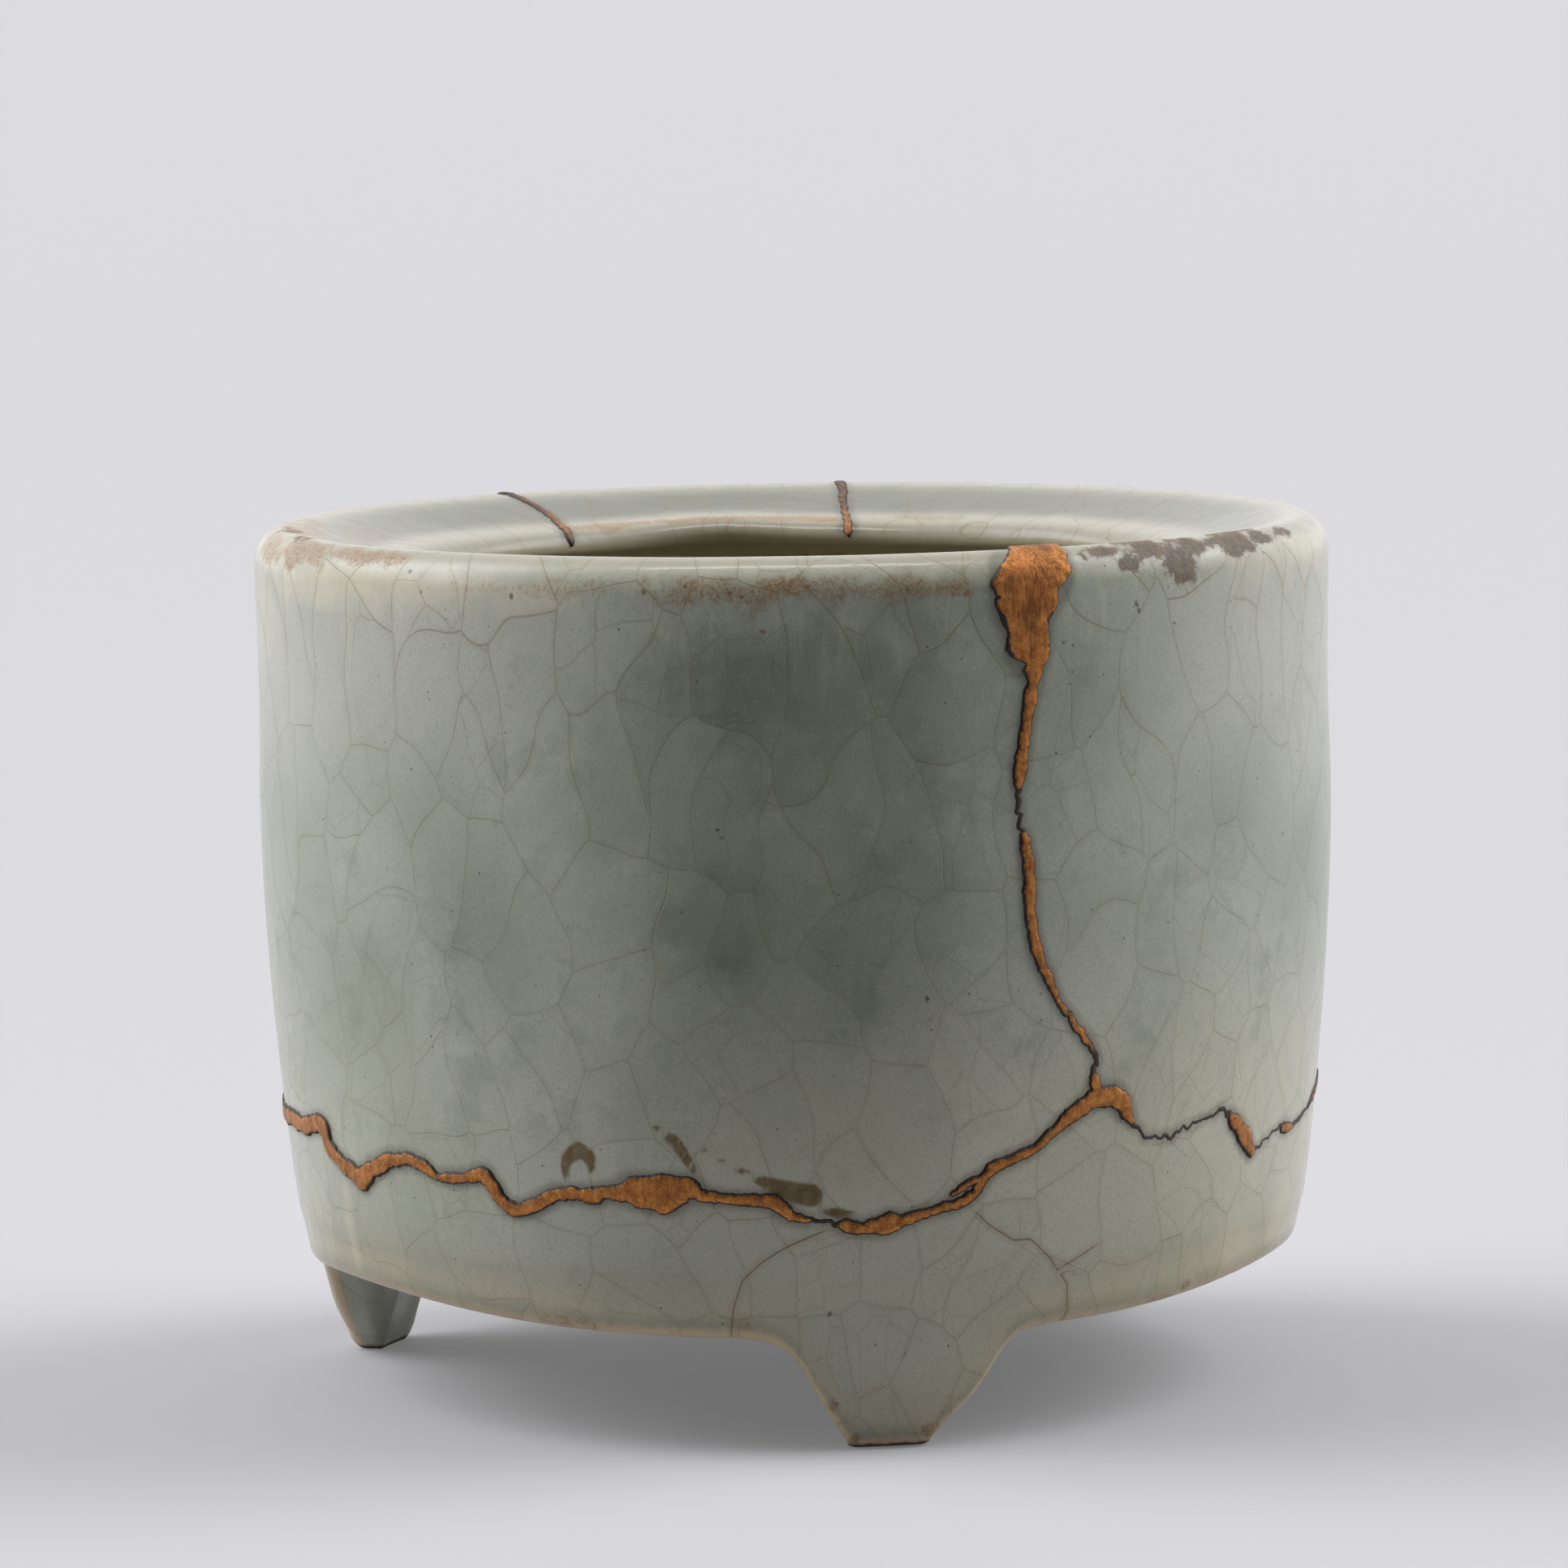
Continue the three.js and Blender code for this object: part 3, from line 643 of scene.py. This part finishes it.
# One socket of a node tree, so that shader maths reads as Python.
class Flow:
    def __init__(self, tree, socket=None):
        self.tree, self.socket = tree, socket

    def node(self, kind, settings=None, values=None):
        made = self.tree.nodes.new(kind)
        for name, value in (settings or {}).items():
            setattr(made, name, value)
        for name, value in (values or {}).items():
            if isinstance(value, Flow):
                self.tree.links.new(value.socket, made.inputs[name])
            else:
                made.inputs[name].default_value = value
        return Flow(self.tree, next((out for out in made.outputs if out.enabled), None))

    def other(self, name):
        return Flow(self.tree, self.socket.node.outputs[name])

    def maths(self, operation, *values):
        return self.node("ShaderNodeMath", {"operation": operation}, dict(enumerate(values)))

    def __add__(self, value):
        return self.maths("ADD", self, value)

    def __radd__(self, value):
        return self.maths("ADD", value, self)

    def __sub__(self, value):
        return self.maths("SUBTRACT", self, value)

    def __rsub__(self, value):
        return self.maths("SUBTRACT", value, self)

    def __mul__(self, value):
        return self.maths("MULTIPLY", self, value)

    def __rmul__(self, value):
        return self.maths("MULTIPLY", value, self)

    def __truediv__(self, value):
        return self.maths("DIVIDE", self, value)

    def __abs__(self):
        return self.maths("ABSOLUTE", self)

    def most(self, value):
        return self.maths("MAXIMUM", self, value)

    def ease(self, low, high):
        return self.node("ShaderNodeMapRange", {"interpolation_type": "SMOOTHSTEP"},
                         {"Value": self, "From Min": low, "From Max": high})

    def mix(self, below, above, how="MIX"):
        return self.node("ShaderNodeMix", {"data_type": "RGBA", "blend_type": how},
                         {0: self, 6: below, 7: above})

    def vector(self, operation, *others, **named):
        return self.node("ShaderNodeVectorMath", {"operation": operation},
                         {**dict(enumerate((self, *others))), **named})

    def grain(self, scale, detail=2.0, roughness=0.5, warp=0.0):
        return self.node("ShaderNodeTexNoise", {}, {
            "Vector": self, "Scale": scale, "Detail": detail, "Roughness": roughness, "Distortion": warp})


def paint(red, green, blue):
    return (*((value / 255 / 12.92 if value <= 10 else ((value / 255 + 0.055) / 1.055) ** 2.4)
              for value in (red, green, blue)), 1.0)


def newMaterial(name):
    material = bpy.data.materials.new(name)
    material.use_nodes = True
    material.node_tree.nodes.clear()
    return material, Flow(material.node_tree)


def finishMaterial(flow, settings):
    shader = flow.node("ShaderNodeBsdfPrincipled", {}, settings)
    flow.node("ShaderNodeOutputMaterial", {}, {"Surface": shader})


glazeLook = {
    "body": paint(124, 130, 115),
    "pale": paint(144, 148, 136),
    "green": paint(88, 99, 82),
    "sandToneAndPaintedLight": paint(174, 171, 150),      # painted light low on the wall; also the sandy tone of some shards and streaks
    "paintedSideLight": paint(172, 171, 161),    # painted light, high on its sides and on the left foot
    # painted shade for the top of the rim and the lip
    "lip": paint(88, 88, 78),
    "warm": paint(166, 150, 120),      # just above the lower edge
    "cream": paint(198, 187, 164),
    "edge": paint(190, 166, 130),
    "tan": paint(118, 86, 44),
    "smear": paint(86, 64, 4),
    "worn": paint(88, 66, 38),
    "wornDark": paint(48, 32, 16),
    "crackle": paint(104, 90, 56),
    "hair": paint(84, 60, 36),
    "seamShade": paint(78, 76, 62),
    "inside": paint(154, 148, 124),
    "footBrown": paint(70, 50, 34),
    "rust": paint(104, 74, 48),
    "dark": paint(52, 46, 34),
    "largeCell": 5.4,      # millimetres across
    "smallCell": 3.3,
    "pinholeCell": 1.5,
    "crackLine": 0.03,     # half the width of a crackle line
    "roughness": 0.14,
}


def glazeMaterial(look):
    material, flow = newMaterial("celadonCrackle")
    place = flow.node("ShaderNodeTexCoord").other("Object").vector("SCALE", Scale=1 / mm)
    x = flow.node("ShaderNodeSeparateXYZ", {}, {"Vector": place})
    y, height = x.other("Y"), x.other("Z")
    radius = (x * x + y * y).maths("SQRT", x * x + y * y)

    def attribute(name):
        return flow.node("ShaderNodeAttribute", {"attribute_name": name}).other("Fac")

    seamGap, smearGap, lowerGap = attribute("seamGap"), attribute("smearGap"), attribute("lowerGap")
    hairSide, hairShow = attribute("hairSide"), attribute("hairShow")
    tanStain, wornGlaze = attribute("tanStain"), attribute("wornGlaze")
    greenPool, creamBand = attribute("greenPool"), attribute("creamBand")
    slow = place.grain(0.055, 3, 0.55)
    middle = place.grain(0.22, 4, 0.6)
    fine = place.grain(1.1, 4, 0.65)
    bubbles = place.grain(4.6, 3, 0.7)
    grit = place.grain(2.4, 5, 0.75)
    streaks = place.vector("MULTIPLY", (1.0, 1.0, 0.16)).grain(0.8, 3, 0.6)

    # the crackle, on the unrolled wall: long bent cells, higher up the wall drawn out upright, and
    # a finer net inside some of them; the unrolling is cut at the back along a crackle of its own
    sway = flow.maths("SINE", height * 0.33) * 0.03 + flow.maths("SINE", height * 0.9) * 0.012
    turned = flow.maths("WRAP", flow.maths("ARCTAN2", x, y * -1) + sway, math.pi, -math.pi)
    flat = flow.node("ShaderNodeCombineXYZ", {}, {
        "X": (turned - sway) * 43, "Y": height - height * height * 0.004 - radius * 0.7})
    bent = flat.node("ShaderNodeVectorMath", {"operation": "MULTIPLY_ADD"}, {
        0: place.grain(0.09, 1, 0.4).other("Color"), 1: (6.5, 6.5, 6.5), 2: flat})

    def cells(start, size, feature, dimensions="2D"):
        return flow.node("ShaderNodeTexVoronoi", {"feature": feature, "voronoi_dimensions": dimensions}, {
            "Vector": start, "Scale": 1 / size, "Randomness": 1.0})

    cut = (math.pi - abs(turned)) * 43
    large = flow.maths("MINIMUM", cut, cells(bent, look["largeCell"], "DISTANCE_TO_EDGE") * look["largeCell"])
    small = cells(bent, look["smallCell"], "DISTANCE_TO_EDGE") * look["smallCell"]
    shardCells = cells(bent, look["largeCell"], "F1")
    shard = flow.node("ShaderNodeSeparateColor", {}, {"Color": shardCells.other("Color")})
    # a slope across each shard, used below for painted shade
    aslant = bent.vector("SUBTRACT", shardCells.other("Position"))
    tilt = aslant.vector("DOT_PRODUCT", (0.7, 0.7, 0.0)).other("Value") / look["largeCell"]
    someSmall = shard.other("Blue").ease(0.5, 0.55)
    line = look["crackLine"] * (0.4 + 1.2 * fine)
    lines = (large - line).ease(0.05, -0.03).most((small - line).ease(0.05, -0.03) * someSmall * 0.6)
    glow = large.ease(0.5, 0.0).most(small.ease(0.4, 0.0) * someSmall * 0.5)
    outside = radius.ease(22, 30)
    lines, glow = lines * outside, glow * outside
    holes = cells(place, look["pinholeCell"], "F1", "3D")
    holeSize = flow.node("ShaderNodeSeparateColor", {}, {"Color": holes.other("Color")})
    pinholes = (holes.other("Distance") * look["pinholeCell"] - 0.11 * holeSize).ease(0.03, -0.03)

    # the glaze body, mottled at several sizes, greener where it lies thick
    colour = slow.ease(0.36, 0.66).mix(look["body"], look["pale"])
    colour = (middle.ease(0.5, 0.72) * 0.4).mix(colour, look["green"])
    colour = (greenPool * (0.45 + 0.6 * middle)).mix(colour, look["green"])
    # painted light: paler and sandier low on the wall, more so to the right, standing in for light from the
    # floor
    colour = ((height + middle * 14).ease(50, 30) * (0.22 + 0.4 * x.ease(-24, -4))).mix(colour, look["sandToneAndPaintedLight"])
    # painted light: the left foot, in the body's shade, and the upper left and right sides are lightened
    # towards a pale bluish grey
    colour = (height.ease(10, 7) * x.ease(-20, -26) * 0.5).mix(colour, look["paintedSideLight"])
    colour = (height.ease(46, 64) * abs(x + 4).ease(16, 36) * 0.55).mix(colour, look["paintedSideLight"])
    colour = (lowerGap.ease(7, 0.8) * (0.2 + 0.6 * middle)).mix(colour, look["warm"])
    # random tone per shard, and a painted shade across each shard as if it were tilted
    colour = ((shard + tilt) * 0.26).mix(colour, look["pale"])
    colour = (shard.other("Green").ease(0.72, 1.0) * 0.1).mix(colour, look["sandToneAndPaintedLight"])
    colour = (bubbles.ease(0.5, 0.7) * 0.3).mix(colour, look["green"])
    colour = (bubbles.ease(0.46, 0.3) * 0.16).mix(colour, look["cream"])
    colour = ((streaks.ease(0.5, 0.75)) * height.ease(56, 70) * 0.3).mix(colour, look["sandToneAndPaintedLight"])
    # it runs thin over the rim, on the lip's inner edge and along the lower edge
    # painted shade: the lip and the top of the ridge are darkened towards a dull olive, against the light from
    # above
    paintedRimShade = radius.ease(43.8, 40.6).most(height.ease(70.6, 71.9) * 0.85) * height.ease(66, 67)
    colour = (paintedRimShade * 0.82).mix(colour, look["lip"])
    rimThin = (height + middle * 1.6).ease(70, 71.6) * radius.ease(39, 42.5) * 0.3
    lipThin = (radius + middle * 2).ease(37.4, 35) * height.ease(67, 68) * 0.35
    thin = rimThin.most(lipThin).most(creamBand * (0.5 + 0.5 * middle))
    colour = (thin * (0.35 + fine * 0.5)).mix(colour, look["cream"])
    edgeGap = lowerGap + (fine - 0.5) * 0.8
    # painted shade: a darker green band just above the lower edge, where it turns under
    colour = (edgeGap.ease(2.4, 1.2) * edgeGap.ease(0.4, 1.2) * 0.3).mix(colour, look["green"])
    colour = (edgeGap.ease(1.3, 0.3) * (0.35 + 0.7 * fine)).mix(colour, look["edge"])
    # crackle, painted shade round the seams, stains
    colour = (glow * 0.08).mix(colour, look["crackle"])
    colour = (lines * (0.06 + 0.5 * middle + 0.2 * height.ease(58, 68))).mix(colour, look["crackle"])
    colour = (pinholes * 0.7).mix(colour, look["dark"])
    # painted shade: a darker olive band round each seam, beside the raised lacquer
    colour = ((seamGap + fine * 0.5).ease(1.05, 0.15) * 0.55).mix(colour, look["seamShade"])
    tan = (tanStain + (grit - 0.5) * 0.9).ease(0.3, 0.8)
    colour = (tan * (0.2 + 0.5 * fine + 0.5 * bubbles.ease(0.45, 0.6))).mix(colour, look["tan"])
    smear = (smearGap + (grit - 0.5) * 0.35).ease(0.22, -0.12)
    colour = (smear * (0.6 + 0.6 * fine)).mix(colour, look["smear"])
    worn = (wornGlaze * 0.9 + (grit - 0.5) * 1.2 + (fine - 0.5) * 1.2).ease(0.2, 0.62)
    wornColour = (grit * 0.6 + fine * 0.4).ease(0.56, 0.42).mix(look["worn"], look["wornDark"])
    colour = (worn * 0.88).mix(colour, wornColour)
    hairGlow = abs(hairSide).ease(0.7, 0.0) * hairShow
    hair = (abs(hairSide) - 0.04 * fine).ease(0.075, 0.0) * hairShow
    colour = (hairGlow * 0.22).mix(colour, look["tan"])
    colour = (hair * 0.7).mix(colour, look["hair"])
    for kind, places in specks.items():
        spots = flow.node("ShaderNodeValue")
        for angle, tall, wide in places:
            centre = unrolledPoint(math.radians(angle) * pot["bellyRadius"], runAt(tall))
            apart = place.vector("DISTANCE", centre).other("Value") + (grit - 0.5) * 1.1
            spots = apart.ease(wide + 0.08, wide - 0.06).most(spots)
        colour = (spots * 0.8).mix(colour, look[kind])
    # inside the pot and under the feet
    within = radius.ease(40.75, 40.3) * height.ease(68.4, 66.2) * height.ease(11.2, 11.6)
    within = within.most(radius.ease(31.9, 31.4) * height.ease(69, 67.5))
    colour = within.mix(colour, look["inside"])
    bare = (height + fine * 0.5).ease(0.8, 0.5)
    colour = bare.mix(colour, look["footBrown"])

    roughness = look["roughness"] + 0.1 * fine + 0.4 * worn + 0.5 * bare + 0.06 * tan + 0.4 * smear
    relief = (slow * 0.35 + middle * 0.12 + bubbles * 0.012 - lines * 0.02 - worn * 0.1
              + worn * grit * 0.16 - hair * 0.04 - pinholes * 0.03)
    normal = flow.node("ShaderNodeBump", {}, {"Strength": 0.55, "Distance": mm, "Height": relief})
    finishMaterial(flow, {"Base Color": colour, "Roughness": roughness, "IOR": 1.5, "Normal": normal})
    return material


goldLook = {
    "gold": paint(196, 130, 66),
    "goldLight": paint(240, 190, 122),
    "goldDeep": paint(120, 70, 34),
    "fill": paint(178, 112, 58),
    "fillDeep": paint(104, 60, 32),
    "lacquer": paint(40, 23, 19),
    "roughness": 0.44,
    "metal": 0.85,
}


def goldMaterial(look):
    material, flow = newMaterial("goldLacquer")
    place = flow.node("ShaderNodeTexCoord").other("Object").vector("SCALE", Scale=1 / mm)
    edgeGap = flow.node("ShaderNodeAttribute", {"attribute_name": "edgeGap"}).other("Fac")
    goldShare = flow.node("ShaderNodeAttribute", {"attribute_name": "goldShare"}).other("Fac")
    patches = place.grain(1.3, 4, 0.65)
    grains = place.grain(7.0, 3, 0.7)
    dust = place.grain(16.0, 2, 0.6)
    brushed = place.vector("MULTIPLY", (1.0, 1.0, 0.12)).grain(4.5, 3, 0.6)
    clouds = place.grain(0.42, 3, 0.6)
    upOn = flow.node("ShaderNodeSeparateXYZ", {}, {"Vector": place}).other("Z").ease(61, 63)
    wide = edgeGap.ease(0.8, 1.7)
    colour = (patches * 0.6 + grains * 0.4).ease(0.36, 0.64).mix(look["goldDeep"], look["gold"])
    uneven = (brushed * 0.4 + clouds * 0.6).ease(0.4, 0.6)
    colour = (wide * 0.85).mix(colour, uneven.mix(look["fillDeep"], look["fill"]))
    colour = (dust.ease(0.5, 0.72) * 0.4).mix(colour, look["goldLight"])
    colour = (brushed.ease(0.55, 0.3) * 0.4).mix(colour, look["goldDeep"])
    bareEdge = clouds.ease(0.48, 0.6) * place.grain(0.9, 2).ease(0.4, 0.6) * upOn * 0.3
    covered = (edgeGap - bareEdge + (grains - 0.5) * 0.2 + (patches - 0.5) * 0.3).ease(0.15, 0.23)
    covered = covered * (goldShare + (grains - 0.5) * 0.5).ease(0.3, 0.55)
    colour = covered.mix(look["lacquer"], colour)
    relief = grains * 0.035 + dust * 0.012 + brushed * 0.04 + patches * 0.05
    normal = flow.node("ShaderNodeBump", {}, {"Strength": 0.8, "Distance": mm, "Height": relief})
    finishMaterial(flow, {"Base Color": colour, "Metallic": covered * look["metal"],
                          "Roughness": look["roughness"] + 0.14 * (1 - covered), "Normal": normal})
    return material


vessel = makeVessel()
vessel.data.materials.append(glazeMaterial(glazeLook))
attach(vessel, "root")
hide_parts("vessel")

seams = makeSeams()
seams.data.materials.append(goldMaterial(goldLook))
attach(seams, "root")
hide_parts("gold_lacquer_seams")
print("pieces finished")

# Plain pale floor between two tall soft boxes a little behind the pot, with a pale backdrop and
# a narrow strip light overhead. The camera's side is dark.
studio = {
    "floorColour": paint(126, 125, 127),
    "floorGlow": 0.14,     # keeps the shadow under the pot open
    "floorReach": 14.0,
    "seenBehind": paint(217, 216, 221),
    "light": paint(252, 252, 255),
    "frontPower": 0.03,
    "backPower": 0.95,
    "topPower": 0.42,
    # each box: power, and the degrees round from the camera over which it sets in and ends
    "leftBox": (13.5, 54, 104, 114, 136),
    "rightBox": (13.2, 60, 108, 114, 136),
    "boxFoot": (12, 30),   # degrees up over which the boxes begin and end
    "boxTop": (54, 72),
    "boxSheen": 0.2,       # what reflections see of them
    # name: degrees round from the camera, distance, height, wide, tall, power
    "lamps": {"topStrip": (0, 0.05, 0.8, 0.5, 0.05, 1.0)},
    # dark card on the floor, which only reflections see: near and far edge, half its widths
    "card": {"near": 0.1, "far": 0.8, "nearHalf": 0.06, "farHalf": 0.46},
}


def makeFloor(setup):
    bm = bmesh.new()
    bmesh.ops.create_grid(bm, x_segments=8, y_segments=8, size=setup["floorReach"])
    floor = makePiece(bm, "paleFloor")
    material, flow = newMaterial("paleFloor")
    finishMaterial(flow, {"Base Color": setup["floorColour"], "Roughness": 0.85,
                          "Emission Color": setup["light"], "Emission Strength": setup["floorGlow"]})
    floor.data.materials.append(material)


def layCard(card, cameraTurn):
    bm = bmesh.new()
    bmesh.ops.create_grid(bm, x_segments=1, y_segments=1, size=1)
    for vert in bm.verts:
        far = vert.co.y < 0
        half = card["farHalf"] if far else card["nearHalf"]
        vert.co = (vert.co.x * half, -card["far"] if far else -card["near"], 0.0005)
    bmesh.ops.rotate(bm, verts=bm.verts, cent=(0, 0, 0), matrix=Matrix.Rotation(-cameraTurn, 3, "Z"))
    piece = makePiece(bm, "darkCard")
    material, flow = newMaterial("darkCard")
    finishMaterial(flow, {"Base Color": paint(20, 20, 20), "Roughness": 0.9})
    piece.data.materials.append(material)
    piece.visible_camera = piece.visible_diffuse = piece.visible_shadow = False


def hangLamp(name, values, setup):
    degrees, distance, height, wide, tall, power = values
    data = bpy.data.lights.new(name, "AREA")
    data.shape, data.size, data.size_y, data.energy = "RECTANGLE", wide, tall, power
    lamp = bpy.data.objects.new(name, data)
    bpy.context.collection.objects.link(lamp)
    turn = math.radians(degrees - setup["azimuth"])
    place = Vector((distance * math.sin(turn), -distance * math.cos(turn), height))
    aim = Vector((0, 0, 0.035)) - place
    lamp.matrix_world = Matrix.Translation(place) @ aim.to_track_quat("-Z", "Y").to_matrix().to_4x4()
    lamp.visible_camera = False


def lightRoom(setup, cameraTurn):
    world = bpy.data.worlds.new("studioLight")
    bpy.context.scene.world = world
    world.use_nodes = True
    world.node_tree.nodes.clear()
    flow = Flow(world.node_tree)
    way = flow.node("ShaderNodeTexCoord").other("Generated")
    ahead = (-math.sin(cameraTurn), -math.cos(cameraTurn), 0)
    right = (math.cos(cameraTurn), -math.sin(cameraTurn), 0)
    towards = way.vector("DOT_PRODUCT", ahead).other("Value")
    aside = way.vector("DOT_PRODUCT", right).other("Value")
    bearing = aside.maths("ARCTAN2", aside, towards) * (180 / math.pi)
    rising = flow.node("ShaderNodeSeparateXYZ", {}, {"Vector": way}).other("Z")
    rising = rising.maths("ARCSINE", rising) * (180 / math.pi)
    reflected = 1 - flow.node("ShaderNodeLightPath").other("Is Glossy Ray") * (1 - setup["boxSheen"])
    strength = setup["frontPower"] + abs(bearing).ease(108, 140) * setup["backPower"]
    for name, turned in (("leftBox", bearing * -1), ("rightBox", bearing)):
        power, start, full, ebb, stop = setup[name]
        box = turned.ease(start, full) * turned.ease(stop, ebb) * rising.ease(*setup["boxFoot"])
        strength = strength + box * power * reflected
    low, high = setup["boxTop"]
    strength = strength * rising.ease(high, low) + rising.ease(low, high) * setup["topPower"]
    room = flow.node("ShaderNodeBackground", {}, {"Color": setup["light"], "Strength": strength})
    behind = flow.node("ShaderNodeBackground", {}, {"Color": setup["seenBehind"], "Strength": 1.0})
    seen = flow.node("ShaderNodeLightPath").other("Is Camera Ray")
    surface = flow.node("ShaderNodeMixShader", {}, {0: seen, 1: room, 2: behind})
    flow.node("ShaderNodeOutputWorld", {}, {"Surface": surface})


makeFloor(studio)
layCard(studio["card"], math.radians(cameraSetup["azimuth"]))
for lampName, lampValues in studio["lamps"].items():
    hangLamp(lampName, lampValues, cameraSetup)
lightRoom(studio, math.radians(cameraSetup["azimuth"]))
bpy.context.scene.view_settings.view_transform = "Standard"
print("studio set")
